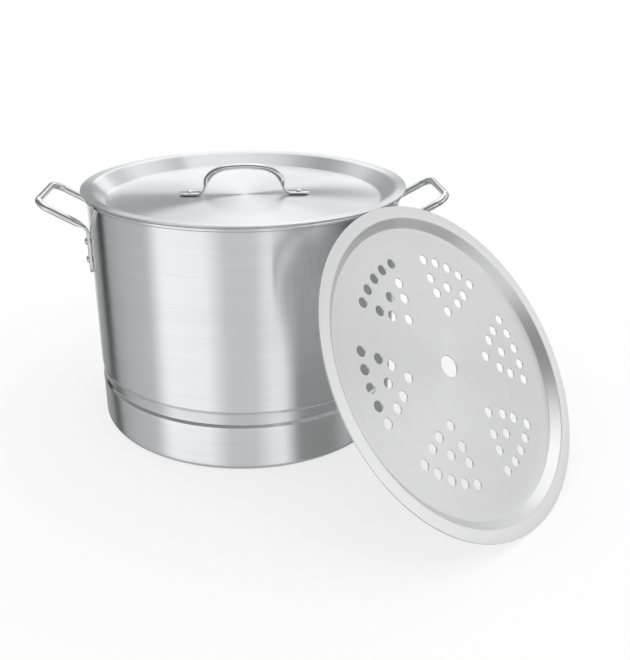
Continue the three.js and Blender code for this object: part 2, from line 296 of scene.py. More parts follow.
@dataclass(frozen=True)
class TurnedFinish:
    """Aluminium turned on a lathe: fine rings round an axis, streaked gloss."""

    name: str
    colour: float = 0.90
    shade: float = 0.85
    warm: float = -0.011
    roughness: float = 0.21
    roughness_swing: float = 0.04
    stretch: float = 1.0
    rings: float = 900.0
    bump: float = 0.03
    stain_scale: float = 9.0
    smooth_from: float = 1.0
    smooth_share: float = 0.7
    smooth_blend: float = 0.002

    def material(self, place: Matrix) -> bpy.types.Material:
        """Makes the material.

        Args:
            place: Frame whose Z is the turning axis.

        Returns:
            The material.
        """
        made = bpy.data.materials.new(self.name)
        made.use_nodes = True
        canvas = Canvas(made.node_tree)
        output = canvas.add("OutputMaterial")
        shader = canvas.add("BsdfPrincipled")
        canvas.join(shader.outputs[0], output.inputs[0])
        shader.inputs["Metallic"].default_value = 1.0
        shader.inputs["Anisotropic"].default_value = self.stretch
        shader.inputs["Anisotropic Rotation"].default_value = 0.25

        point = canvas.add("TexCoord").outputs["Object"]
        inverse = place.inverted()
        local = canvas.add("Mapping")
        canvas.join(point, local.inputs["Vector"])
        local.inputs["Location"].default_value = inverse.to_translation()
        local.inputs["Rotation"].default_value = inverse.to_euler()
        axis = place.to_3x3() @ UP
        arm = canvas.vector("SUBTRACT", point, place.to_translation())
        around = canvas.vector("CROSS_PRODUCT", tuple(axis), arm.outputs[0])
        canvas.join(around.outputs[0], shader.inputs["Tangent"])

        flat = canvas.vector("MULTIPLY", local.outputs[0], (1, 1, 0))
        radius = canvas.vector("LENGTH", flat.outputs[0]).outputs["Value"]
        direction = canvas.vector("NORMALIZE", flat.outputs[0])
        parts = canvas.add("SeparateXYZ")
        canvas.join(local.outputs[0], parts.inputs[0])
        along = canvas.math("ADD", radius, parts.outputs["Z"])
        heading = canvas.add("SeparateXYZ")
        canvas.join(direction.outputs[0], heading.inputs[0])
        fine = self.ring_noise(canvas, along, heading, self.rings, 2.0)
        broad = self.ring_noise(canvas, along, heading, self.rings / 9, 0.7)
        stain = canvas.noise(point, self.stain_scale, 4.0)

        tone = canvas.math("ADD", canvas.times(broad, 0.6), canvas.times(stain, 0.4))
        dark, pale = grey(self.shade, self.warm), grey(self.colour, self.warm)
        tint = canvas.mix(canvas.rise(tone, 0.3, 0.7), dark, pale)
        canvas.join(tint, shader.inputs["Base Color"])
        swing = canvas.math("ADD", canvas.times(fine, 0.5), canvas.times(stain, 0.5))
        low, high = self.roughness - self.roughness_swing, self.roughness + self.roughness_swing
        rough = canvas.spread(swing, 0.3, 0.7, low, high)
        inner, outer = self.smooth_from, self.smooth_from + self.smooth_blend
        edge = canvas.spread(radius, inner, outer, 1.0, self.smooth_share)
        canvas.join(canvas.times(rough, edge), shader.inputs["Roughness"])
        bump = canvas.add("Bump")
        bump.inputs["Strength"].default_value = self.bump
        bump.inputs["Distance"].default_value = BUMP_DEPTH
        canvas.join(fine, bump.inputs["Height"])
        canvas.join(bump.outputs[0], shader.inputs["Normal"])
        return made

    def ring_noise(
        self,
        canvas: Canvas,
        along: bpy.types.NodeSocket,
        heading: bpy.types.Node,
        density: float,
        turns: float,
    ) -> bpy.types.NodeSocket:
        """Noise drawn out into rings round the axis.

        Args:
            canvas: The tree to add to.
            along: Distance across the rings.
            heading: Split direction from the axis.
            density: Rings per metre.
            turns: How quickly a ring changes on its way round.

        Returns:
            The noise's socket.
        """
        spot = canvas.add("CombineXYZ")
        canvas.join(canvas.times(along, density), spot.inputs[0])
        canvas.join(canvas.times(heading.outputs[0], turns), spot.inputs[1])
        canvas.join(canvas.times(heading.outputs[1], turns), spot.inputs[2])
        return canvas.noise(spot.outputs[0], 1.0, 3.0, 0.6)


@dataclass(frozen=True)
class PolishedFinish:
    """Bright polished metal with faint wear, for rods and rivets."""

    name: str
    colour: float = 0.84
    shade: float = 0.77
    roughness: float = 0.12
    swing: float = 0.05
    bump: float = 0.05
    warm: float = -0.004
    wear_scale: float = 140.0
    scuff_scale: float = 900.0

    def material(self) -> bpy.types.Material:
        """Makes the material.

        Returns:
            The material.
        """
        made = bpy.data.materials.new(self.name)
        made.use_nodes = True
        canvas = Canvas(made.node_tree)
        output = canvas.add("OutputMaterial")
        shader = canvas.add("BsdfPrincipled")
        canvas.join(shader.outputs[0], output.inputs[0])
        shader.inputs["Metallic"].default_value = 1.0
        point = canvas.add("TexCoord").outputs["Object"]
        wear = canvas.noise(point, self.wear_scale, 5.0, 0.6)
        scuff = canvas.noise(point, self.scuff_scale, 2.0)
        pale, dark = grey(self.colour, self.warm), grey(self.shade, self.warm)
        tint = canvas.mix(canvas.rise(wear, 0.35, 0.7), pale, dark)
        canvas.join(tint, shader.inputs["Base Color"])
        rough = canvas.spread(wear, 0.3, 0.7, self.roughness - self.swing, self.roughness + self.swing)
        canvas.join(rough, shader.inputs["Roughness"])
        bump = canvas.add("Bump")
        bump.inputs["Strength"].default_value = self.bump
        bump.inputs["Distance"].default_value = BUMP_DEPTH
        canvas.join(scuff, bump.inputs["Height"])
        canvas.join(bump.outputs[0], shader.inputs["Normal"])
        return made


def arc(
    centre: tuple[float, float], radius: float, start: float, stop: float, steps: int
) -> list[tuple[float, float]]:
    """Points on an arc of a profile.

    Args:
        centre: Middle as radius and height.
        radius: Arc radius.
        start: First angle in degrees.
        stop: Last angle in degrees.
        steps: Number of spans.

    Returns:
        The points as radius and height.
    """
    points = []
    for step in range(steps + 1):
        angle = math.radians(start + (stop - start) * step / steps)
        points.append((centre[0] + radius * math.cos(angle), centre[1] + radius * math.sin(angle)))
    return points


def rounded(
    points: list[tuple[float, float]], radii: Sequence[float], steps: int = 6
) -> list[tuple[float, float]]:
    """Rounds the inner corners of an open profile.

    Args:
        points: Corner points as radius and height.
        radii: Radius of each corner between the first and the last point.
        steps: Spans in each rounded corner.

    Returns:
        The profile with its corners rounded.
    """
    out = [points[0]]
    for index, radius in enumerate(radii, start=1):
        corner = Vector(points[index])
        back = (Vector(points[index - 1]) - corner).normalized()
        ahead = (Vector(points[index + 1]) - corner).normalized()
        half = back.angle(ahead) / 2
        if radius <= 0 or abs(half - math.pi / 2) < 1e-4:
            out.append(tuple(corner))
            continue
        reach = radius / math.tan(half)
        middle = corner + (back + ahead).normalized() * (radius / math.sin(half))
        first = corner + back * reach - middle
        last = corner + ahead * reach - middle
        sweep = first.angle(last)
        for step in range(steps + 1):
            share = step / steps
            point = first * math.sin((1 - share) * sweep) + last * math.sin(share * sweep)
            out.append(tuple(middle + point / math.sin(sweep)))
    out.append(points[-1])
    return out


def turn_profile(mesh: bmesh.types.BMesh, profile: list[tuple[float, float]], steps: int) -> None:
    """Spins a profile right round Z into a closed body.

    Args:
        mesh: The bmesh to add to.
        profile: Points as radius and height, from axis to axis or closed.
        steps: Steps round the axis.
    """
    verts = [mesh.verts.new((max(r, 0.0), 0, z)) for r, z in profile]
    edges = [mesh.edges.new(pair) for pair in zip(verts, verts[1:])]
    bmesh.ops.spin(
        mesh,
        geom=verts + edges,
        cent=(0, 0, 0),
        axis=(0, 0, 1),
        angle=2 * math.pi,
        steps=steps,
        use_merge=True,
    )
    bmesh.ops.remove_doubles(mesh, verts=mesh.verts, dist=1e-6)
    bmesh.ops.recalc_face_normals(mesh, faces=mesh.faces)


def make_piece(
    mesh: bmesh.types.BMesh,
    name: str,
    material: bpy.types.Material,
    body: Body,
    node: str,
    sharp: float = 40,
) -> bpy.types.Object:
    """Makes an object from a bmesh and puts it in place of a CAD node.

    Args:
        mesh: The finished shape, which is freed.
        name: Name of the piece.
        material: Its material.
        body: Rigid body that it rides on.
        node: CAD node that it stands for.
        sharp: Edges past this angle in degrees stay crisp.

    Returns:
        The new object.
    """
    data = bpy.data.meshes.new(name)
    mesh.to_mesh(data)
    mesh.free()
    data.materials.append(material)
    for polygon in data.polygons:
        polygon.use_smooth = True
    data.set_sharp_from_angle(angle=math.radians(sharp))
    piece = bpy.data.objects.new(name, data)
    bpy.context.scene.collection.objects.link(piece)
    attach(piece, body.value)
    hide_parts(node)
    LOG.info("%s: %d faces on %s", name, len(data.polygons), body.value)
    return piece


@dataclass
class PotShell:
    """Tapered wall, base and rolled rim."""

    sizes: PotSizes
    steps: int = 224
    ledge_round: float = 0.0009
    bead_foot: float = 0.002
    bead_back: float = 0.003
    bead_rounds: tuple[float, ...] = (0.0006, 0.0024, 0.0028, 0.0008)

    def ledge(self, inset: float) -> list[tuple[float, float]]:
        """Outline of the rolled ledge, from below upwards.

        Args:
            inset: How far inside the wall's outer face the outline runs.

        Returns:
            Points with softened corners.
        """
        s = self.sizes
        corners = []
        for rise, depth in zip(s.ledge_rises, s.ledge_depths):
            z = s.ledge_line + rise
            corners.append((s.wall_radius(z) - depth - inset, z))
        return rounded(corners, [self.ledge_round] * (len(corners) - 2))

    def profile(self) -> list[tuple[float, float]]:
        """Outline from the base's middle, up the outside and down the inside."""
        s = self.sizes
        base = s.wall_radius(s.corner)
        outside = [(0.0, 0.0)] + arc((base - s.corner, s.corner), s.corner, -90, 0, 12)
        outside += self.ledge(0.0)
        bottom = s.height - s.bead_tall
        foot = bottom - self.bead_foot
        rim = s.rim_radius
        bead = rounded(
            [
                (s.wall_radius(foot), foot),
                (s.wall_radius(bottom), bottom),
                (rim + s.bead_out, bottom),
                (rim + s.bead_out, s.height),
                (rim - s.wall, s.height),
                (rim - s.wall, s.height - self.bead_back),
            ],
            self.bead_rounds,
        )
        inside = self.ledge(s.wall)[::-1]
        inner = s.corner - s.wall
        floor = arc((base - s.corner, s.base_sheet + inner), inner, 0, -90, 10)
        return outside + bead + inside + floor + [(0.0, s.base_sheet)]

    def build(self, finish: TurnedFinish) -> bpy.types.Object:
        """Builds and dresses the shell.

        Args:
            finish: The turned finish.

        Returns:
            The shell.
        """
        mesh = bmesh.new()
        turn_profile(mesh, self.profile(), self.steps)
        material = finish.material(Matrix.Identity(4))
        return make_piece(mesh, "pot_shell", material, Body.POT, "pot_body")


@dataclass
class LidDish:
    """Shallow spun lid with a flange, a sloped wall and a flat panel."""

    sizes: PotSizes
    flange: float = 0.012
    slope_run: float = 0.016
    slope_shift: float = 0.0004
    rounds: tuple[float, ...] = (0.0055, 0.0055, 0.0005, 0.0006, 0.007, 0.004)
    steps: int = 224

    def profile(self) -> list[tuple[float, float]]:
        """Outline along the underside, round the thin edge and back over the top."""
        s = self.sizes
        top, panel, sheet = s.lid_top, s.panel_top, s.lid_sheet
        edge = s.lid_radius
        slope_top = edge - self.flange
        slope_foot = slope_top - self.slope_run
        under = top - sheet
        corners = [
            (0.0, panel - sheet),
            (slope_foot, panel - sheet),
            (slope_top, under),
            (edge, under),
            (edge, top),
            (slope_top - self.slope_shift, top),
            (slope_foot - self.slope_shift, panel),
            (0.0, panel),
        ]
        return rounded(corners, self.rounds, 7)

    def build(self, finish: TurnedFinish) -> bpy.types.Object:
        """Builds and dresses the lid.

        Args:
            finish: The turned finish.

        Returns:
            The lid.
        """
        mesh = bmesh.new()
        turn_profile(mesh, self.profile(), self.steps)
        material = finish.material(Matrix.Identity(4))
        return make_piece(mesh, "lid_dish", material, Body.LID, "lid")


@dataclass
class BentRod:
    """A round rod bent along a path, with both ends pressed flat."""

    path: list[Vector]
    thickness: Vector
    radius: float
    flat_half_width: float
    flat_half_thick: float
    flat_length: float
    round_length: float
    nose: float
    tip: float = 0.12
    sides: int = 28
    lengths: list[float] = field(default_factory=list)

    def measure(self) -> float:
        """Fills in the distance to each path point and returns the total."""
        total = 0.0
        self.lengths = [0.0]
        for first, second in zip(self.path, self.path[1:]):
            total += (second - first).length
            self.lengths.append(total)
        return total

    def section(self, distance: float, total: float) -> tuple[float, float, float]:
        """Half width, half thickness and flatness at a distance along the rod.

        Args:
            distance: Distance from the start.
            total: Whole length.

        Returns:
            Half width, half thickness and flatness from 0 to 1.
        """
        near = min(distance, total - distance)
        share = min(1.0, max(0.0, (near - self.flat_length) / (self.round_length - self.flat_length)))
        share = share * share * (3 - 2 * share)
        cut = min(1.0, near / self.nose)
        tip = self.tip + (1 - self.tip) * math.sqrt(1 - (1 - cut) ** 2)
        wide = self.flat_half_width + (self.radius - self.flat_half_width) * share
        thick = self.flat_half_thick + (self.radius - self.flat_half_thick) * share
        return wide * tip, thick, 1 - share

    def sweep(self, mesh: bmesh.types.BMesh) -> None:
        """Extrudes the changing section along the path.

        Args:
            mesh: The bmesh to add to.
        """
        total = self.measure()
        ring = bmesh.ops.create_circle(mesh, segments=self.sides, radius=1.0, cap_ends=True)["verts"]
        angles = [math.atan2(v.co.y, v.co.x) for v in ring]
        thickness = self.thickness.copy()
        previous = None
        for index, point in enumerate(self.path):
            tangent = self.path[min(index + 1, len(self.path) - 1)] - self.path[max(index - 1, 0)]
            tangent.normalize()
            if previous is not None:
                thickness = previous.rotation_difference(tangent) @ thickness
                edges = [e for e in mesh.edges if e.verts[0] in ring and e.verts[1] in ring]
                grown = bmesh.ops.extrude_edge_only(mesh, edges=edges)["geom"]
                fresh = [g for g in grown if isinstance(g, bmesh.types.BMVert)]
                order = {tuple(v.co): i for i, v in enumerate(ring)}
                ring = sorted(fresh, key=lambda v: order[tuple(v.co)])
            thickness = (thickness - tangent * thickness.dot(tangent)).normalized()
            across = tangent.cross(thickness)
            wide, thick, flat = self.section(self.lengths[index], total)
            power = 1 - 0.5 * flat
            for vert, angle in zip(ring, angles):
                c, s = math.cos(angle), math.sin(angle)
                out = wide * math.copysign(abs(c) ** power, c)
                rise = thick * math.copysign(abs(s) ** power, s)
                vert.co = point + across * out + thickness * rise
            previous = tangent
        mesh.faces.new(ring)
        bmesh.ops.recalc_face_normals(mesh, faces=mesh.faces)


def bent_path(corners: list[Vector], radii: list[float], bend_steps: int, step: float) -> list[Vector]:
    """Points along straight runs joined by round bends.

    Args:
        corners: Corner points, with the two ends.
        radii: Bend radius at each corner between the ends.
        bend_steps: Spans in each bend.
        step: Longest span on a straight run.

    Returns:
        The path's points.
    """
    path = [corners[0]]
    for index, radius in enumerate(radii, start=1):
        corner = corners[index]
        back = (corners[index - 1] - corner).normalized()
        ahead = (corners[index + 1] - corner).normalized()
        half = back.angle(ahead) / 2
        reach = radius / math.tan(half)
        middle = corner + (back + ahead).normalized() * (radius / math.sin(half))
        first = corner + back * reach - middle
        last = corner + ahead * reach - middle
        sweep = first.angle(last)
        for count in range(bend_steps + 1):
            share = count / bend_steps
            point = first * math.sin((1 - share) * sweep) + last * math.sin(share * sweep)
            path.append(middle + point / math.sin(sweep))
    path.append(corners[-1])
    spaced = [path[0]]
    for first, second in zip(path, path[1:]):
        spans = max(1, math.ceil((second - first).length / step))
        spaced += [first.lerp(second, k / spans) for k in range(1, spans + 1)]
    return spaced


def smooth_path(points: list[Vector], spans: int) -> list[Vector]:
    """A smooth curve through points.

    Args:
        points: Points on the curve.
        spans: Spans between two points.

    Returns:
        The curve's points.
    """
    out = [points[0]]
    for index in range(len(points) - 1):
        a, b = points[max(index - 1, 0)], points[index]
        c, d = points[index + 1], points[min(index + 2, len(points) - 1)]
        for count in range(1, spans + 1):
            t = count / spans
            out.append(
                0.5
                * (
                    2 * b
                    + (c - a) * t
                    + (2 * a - 5 * b + 4 * c - d) * t**2
                    + (3 * b - a - 3 * c + d) * t**3
                )
            )
    return out


@dataclass
class Rivets:
    """Solid rivets with a domed head outside and a flat tail inside."""

    shank: float = 0.0024
    head: float = 0.0042
    head_tall: float = 0.0023
    tail: float = 0.0044
    tail_tall: float = 0.0013
    tail_gap: float = 0.0007
    tail_face: float = 0.82
    tail_rounds: tuple[float, ...] = (0.0006, 0.0003, 0.0, 0.0)
    seat_gap: float = 0.0003
    dome_steps: int = 10
    steps: int = 28

    def build(
        self,
        name: str,
        seat: Vector,
        direction: Vector,
        stack: float,
        body: Body,
        material: bpy.types.Material,
    ) -> bpy.types.Object:
        """Builds one rivet.

        Args:
            name: CAD node that it stands for.
            seat: Point on the outside of the stack.
            direction: Direction that the head faces.
            stack: Thickness of the sheets that it joins.
            body: Rigid body that it rides on.
            material: Its material.

        Returns:
            The rivet.
        """
        tail = -stack - self.tail_gap
        skirt = [
            (0.0, tail - self.tail_tall),
            (self.tail * self.tail_face, tail - self.tail_tall),
            (self.tail, tail),
            (self.shank, tail),
            (self.shank, 0.0),
            (self.head, 0.0),
        ]
        profile = rounded(skirt, self.tail_rounds, 4)
        for step in range(1, self.dome_steps + 1):
            angle = math.pi / 2 * step / self.dome_steps
            rise = self.seat_gap + self.head_tall * math.sin(angle)
            profile.append((self.head * math.cos(angle), rise))
        mesh = bmesh.new()
        turn_profile(mesh, profile, self.steps)
        turn = UP.rotation_difference(direction).to_matrix().to_4x4()
        bmesh.ops.transform(mesh, matrix=Matrix.Translation(seat) @ turn, verts=mesh.verts)
        return make_piece(mesh, name + "_stud", material, body, name)


@dataclass
class SideHandles:
    """Rod loops that rise outwards, with legs riveted flat to the wall."""

    sizes: PotSizes
    rod: float = 0.0043
    half_width: float = 0.0485
    reach: float = 0.0515
    rise: float = 0.031
    leg_half_width: float = 0.0062
    leg_half_thick: float = 0.002
    leg_bottom: float = 0.194
    leg_bend: float = 0.248
    bend_radius: float = 0.011
    grip_radius: float = 0.016
    flat_to_rod: float = 0.016
    nose: float = 0.008
    bend_steps: int = 12
    path_step: float = 0.0012
    rivet_heights: tuple[float, float] = (0.2105, 0.2325)

    def direction(self, side: Side, end: End) -> Vector:
        """Outward direction of the wall at a leg."""
        angle = math.asin(self.half_width / self.sizes.wall_radius(self.leg_bend))
        return Vector((side.value * math.cos(angle), end.value * math.sin(angle), 0))

    def leg(self, side: Side, end: End, z: float) -> Vector:
        """Middle of a leg at a height."""
        radius = self.sizes.wall_radius(z) + self.sizes.seat_gap + self.leg_half_thick
        point = self.direction(side, end) * radius
        point.z = z
        return point

    def grip(self, side: Side, end: End) -> Vector:
        """Outer corner of the loop."""
        out = self.sizes.wall_radius(self.leg_bend) + self.reach
        return Vector((side.value * out, end.value * self.half_width, self.leg_bend + self.rise))

    def build_loop(self, side: Side, material: bpy.types.Material) -> bpy.types.Object:
        """Builds one loop.

        Args:
            side: Side of the pot.
            material: Its material.

        Returns:
            The loop.
        """
        corners = [
            self.leg(side, End.FRONT, self.leg_bottom),
            self.leg(side, End.FRONT, self.leg_bend),
            self.grip(side, End.FRONT),
            self.grip(side, End.BACK),
            self.leg(side, End.BACK, self.leg_bend),
            self.leg(side, End.BACK, self.leg_bottom),
        ]
        radii = [self.bend_radius, self.grip_radius, self.grip_radius, self.bend_radius]
        path = bent_path(corners, radii, self.bend_steps, self.path_step)
        tall = self.leg_bend - self.leg_bottom
        rod = BentRod(
            path=path,
            thickness=self.direction(side, End.FRONT),
            radius=self.rod,
            flat_half_width=self.leg_half_width,
            flat_half_thick=self.leg_half_thick,
            flat_length=tall,
            round_length=tall + self.flat_to_rod,
            nose=self.nose,
        )
        mesh = bmesh.new()
        rod.sweep(mesh)
        word = side.name.lower()
        node = f"side_handle_{word}"
        return make_piece(mesh, f"side_loop_{word}", material, Body.POT, node)

    def build(self, rod_finish: PolishedFinish, rivet_finish: PolishedFinish, rivets: Rivets) -> None:
        """Builds both loops and their rivets.

        Args:
            rod_finish: Finish of the loops.
            rivet_finish: Finish of the rivets.
            rivets: Rivet maker.
        """
        rod_material = rod_finish.material()
        rivet_material = rivet_finish.material()
        stack = 2 * self.leg_half_thick + self.sizes.seat_gap + self.sizes.wall
        for side in Side:
            self.build_loop(side, rod_material)
            for end in End:
                direction = self.direction(side, end)
                for row, z in zip(("lower", "upper"), self.rivet_heights):
                    seat = self.leg(side, end, z) + direction * self.leg_half_thick
                    name = f"rivet_{side.name.lower()}_{end.name.lower()}_{row}"
                    rivets.build(name, seat, direction, stack, Body.POT, rivet_material)


@dataclass
class LidHandle:
    """Arched rod with flattened feet turned outwards on the lid."""

    sizes: PotSizes
    rod: float = 0.0038
    foot_half_width: float = 0.007
    foot_half_thick: float = 0.0016
    foot_end: float = 0.079
    foot_rivet: float = 0.066
    leg_reach: float = 0.05
    arch_height: float = 0.0342
    arch_power: float = 0.74
    arch_share: float = 0.96
    arch_angles: tuple[float, ...] = (8, 18, 29, 42, 56, 71)
    nose_backs: tuple[float, ...] = (0.0, 0.0015, 0.004, 0.007)
    bend: tuple[tuple[float, float], ...] = ((0.008, 0.0), (0.0034, 0.0007), (0.0004, 0.003))
    bend_back: float = 0.004
    flat_to_rod: float = 0.012
    nose: float = 0.007

    def path(self) -> list[Vector]:
        """Centre line from the left foot over the arch to the right foot."""
        foot = self.sizes.panel_top + self.sizes.seat_gap + self.foot_half_thick
        leg = self.leg_reach
        rise = self.arch_height - self.foot_half_thick
        half = [(self.foot_end - back, 0.0) for back in self.nose_backs]
        half += [(leg + out, up) for out, up in self.bend]
        for angle in self.arch_angles:
            turn = math.radians(angle)
            across = self.arch_share * leg * math.cos(turn) ** self.arch_power
            half.append((across, rise * math.sin(turn) ** self.arch_power))
        top = [(0.0, rise)]
        line = [(-x, z) for x, z in half] + top + list(reversed(half))
        return smooth_path([Vector((x, 0, foot + z)) for x, z in line], 6)

    def build(self, rod_finish: PolishedFinish, rivet_finish: PolishedFinish, rivets: Rivets) -> None:
        """Builds the handle and its rivets.

        Args:
            rod_finish: Finish of the rod.
            rivet_finish: Finish of the rivets.
            rivets: Rivet maker.
        """
        flat = self.foot_end - self.leg_reach + self.bend_back
        rod = BentRod(
            path=self.path(),
            thickness=UP,
            radius=self.rod,
            flat_half_width=self.foot_half_width,
            flat_half_thick=self.foot_half_thick,
            flat_length=flat,
            round_length=flat + self.flat_to_rod,
            nose=self.nose,
        )
        mesh = bmesh.new()
        rod.sweep(mesh)
        make_piece(mesh, "lid_loop", rod_finish.material(), Body.LID, "lid_handle")
        material = rivet_finish.material()
        stack = 2 * self.foot_half_thick + self.sizes.seat_gap + self.sizes.lid_sheet
        foot_top = self.sizes.panel_top + stack - self.sizes.lid_sheet
        for side in Side:
            seat = Vector((side.value * self.foot_rivet, 0, foot_top))
            rivets.build(f"lid_rivet_{side.name.lower()}", seat, UP, stack, Body.LID, material)


@dataclass
class SteamerRack:
    """Dished plate with steam holes, leaning on the lid's edge."""

    sizes: PotSizes
    sheet: float = 0.0015
    flange: float = 0.014
    slope_run: float = 0.0085
    recess: float = 0.01
    centre_hole: float = 0.0119
    hole: float = 0.0057
    groups: int = 6
    group_turn: float = 50.0
    heading: float = -45.0
    lean_gap: float = 0.0003
    touch_drop: float = 0.0009
    fold_round: float = 0.003
    fold_margin: float = 0.004
    edge_round: float = 0.00035
    middle_rows: tuple[float, ...] = (0.367, 0.537)
    outer_row: float = 0.677
    outer_angles: tuple[float, ...] = (-17.2, -8.6, 0.0, 8.6, 17.2)
    side_holes: tuple[tuple[float, float], ...] = ((0.558, 14.6), (0.469, 10.9))
    steps: int = 224
    hole_steps: int = 36

    def stand(self) -> Matrix:
        """Frame of the leaning rack: X across, Y up the slope, Z out of the hollow side."""
        touch = self.sizes.lid_top - self.touch_drop
        radius = self.sizes.rack_radius
        lean = math.acos(touch / (2 * radius))
        turn = math.radians(self.heading)
        out = Vector((math.cos(turn), math.sin(turn), 0))
        face = out * math.cos(lean) + UP * math.sin(lean)
        slope = out * -math.sin(lean) + UP * math.cos(lean)
        across = slope.cross(face)
        far = self.sizes.lid_radius + self.lean_gap + radius * math.sin(lean)
        frame = Matrix((across, slope, face)).transposed().to_4x4()
        frame.translation = out * far + UP * (radius * math.cos(lean))
        return frame

    def holes(self) -> list[tuple[Vector, float]]:
        """Middle and radius of every hole."""
        group = [(share, 0.0) for share in self.middle_rows]
        group += [(self.outer_row, angle) for angle in self.outer_angles]
        for sign in (-1, 1):
            group += [(share, sign * angle) for share, angle in self.side_holes]
        found = [(Vector((0, 0, 0)), self.centre_hole)]
        for count in range(self.groups):
            for share, angle in group:
                turn = math.radians(angle + self.group_turn + count * 360 / self.groups)
                arm = Vector((math.cos(turn), math.sin(turn), 0))
                found.append((arm * share * self.sizes.rack_radius, self.hole))
        return found

    def build(self, finish: TurnedFinish) -> bpy.types.Object:
        """Builds the dished sheet, cuts its holes and leans it.

        Args:
            finish: The turned finish.

        Returns:
            The rack.
        """
        radius = self.sizes.rack_radius
        slope_top = radius - self.flange
        slope_foot = slope_top - self.slope_run
        top = self.sheet
        floor = self.sheet - self.recess
        margin = slope_foot - self.fold_margin
        rim = rounded(
            [(margin, floor), (slope_foot, floor), (slope_top, top), (radius, top)],
            [self.fold_round, self.fold_round],
        )
        mesh = bmesh.new()
        turn_profile(mesh, rim, self.steps)
        inner = [e for e in mesh.edges if e.is_boundary and self.at_radius(e, margin)]
        edges = list(inner)
        for middle, size in self.holes():
            place = Matrix.Translation(middle + Vector((0, 0, floor)))
            steps = self.hole_steps if size == self.hole else 2 * self.hole_steps
            ring = bmesh.ops.create_circle(mesh, segments=steps, radius=size, matrix=place)["verts"]
            edges += [e for e in mesh.edges if e.verts[0] in ring and e.verts[1] in ring]
        bmesh.ops.triangle_fill(mesh, use_beauty=True, edges=edges, normal=UP)
        bmesh.ops.recalc_face_normals(mesh, faces=mesh.faces)
        if sum(face.normal.z for face in mesh.faces) < 0:
            bmesh.ops.reverse_faces(mesh, faces=mesh.faces)
        bmesh.ops.solidify(mesh, geom=mesh.faces, thickness=self.sheet)
        bmesh.ops.recalc_face_normals(mesh, faces=mesh.faces)
        paired = [e for e in mesh.edges if len(e.link_faces) == 2]
        brink = [e for e in paired if e.calc_face_angle() > math.radians(60)]
        bmesh.ops.bevel(
            mesh,
            geom=brink,
            offset=self.edge_round,
            segments=2,
            profile=0.5,
            affect="EDGES",
            material=-1,
        )
        place = self.stand()
        bmesh.ops.transform(mesh, matrix=place, verts=mesh.verts)
        return make_piece(
            mesh, "rack_plate", finish.material(place), Body.RACK, "steamer_rack", sharp=20
        )

    def at_radius(self, edge: bmesh.types.BMEdge, radius: float) -> bool:
        """True if both ends of an edge lie at a radius."""
        return all(abs(Vector(v.co.xy).length - radius) < 1e-4 for v in edge.verts)


@dataclass(frozen=True)
class Card:
    """Round soft-edged card in the surroundings."""

    middle: tuple[float, float, float]
    inner: float
    outer: float
    level: float

    def lay(
        self, canvas: Canvas, direction: bpy.types.NodeSocket, under: bpy.types.NodeSocket
    ) -> bpy.types.NodeSocket:
        """Lays the card over a colour.

        Args:
            canvas: The tree to add to.
            direction: Direction of the ray.
            under: Colour where the card isn't.

        Returns:
            The colour with the card.
        """
        middle = Vector(self.middle).normalized()
        towards = canvas.vector("DOT_PRODUCT", direction, middle).outputs["Value"]
        gone, full = math.cos(math.radians(self.outer)), math.cos(math.radians(self.inner))
        return canvas.mix(canvas.rise(towards, gone, full), under, grey(self.level))


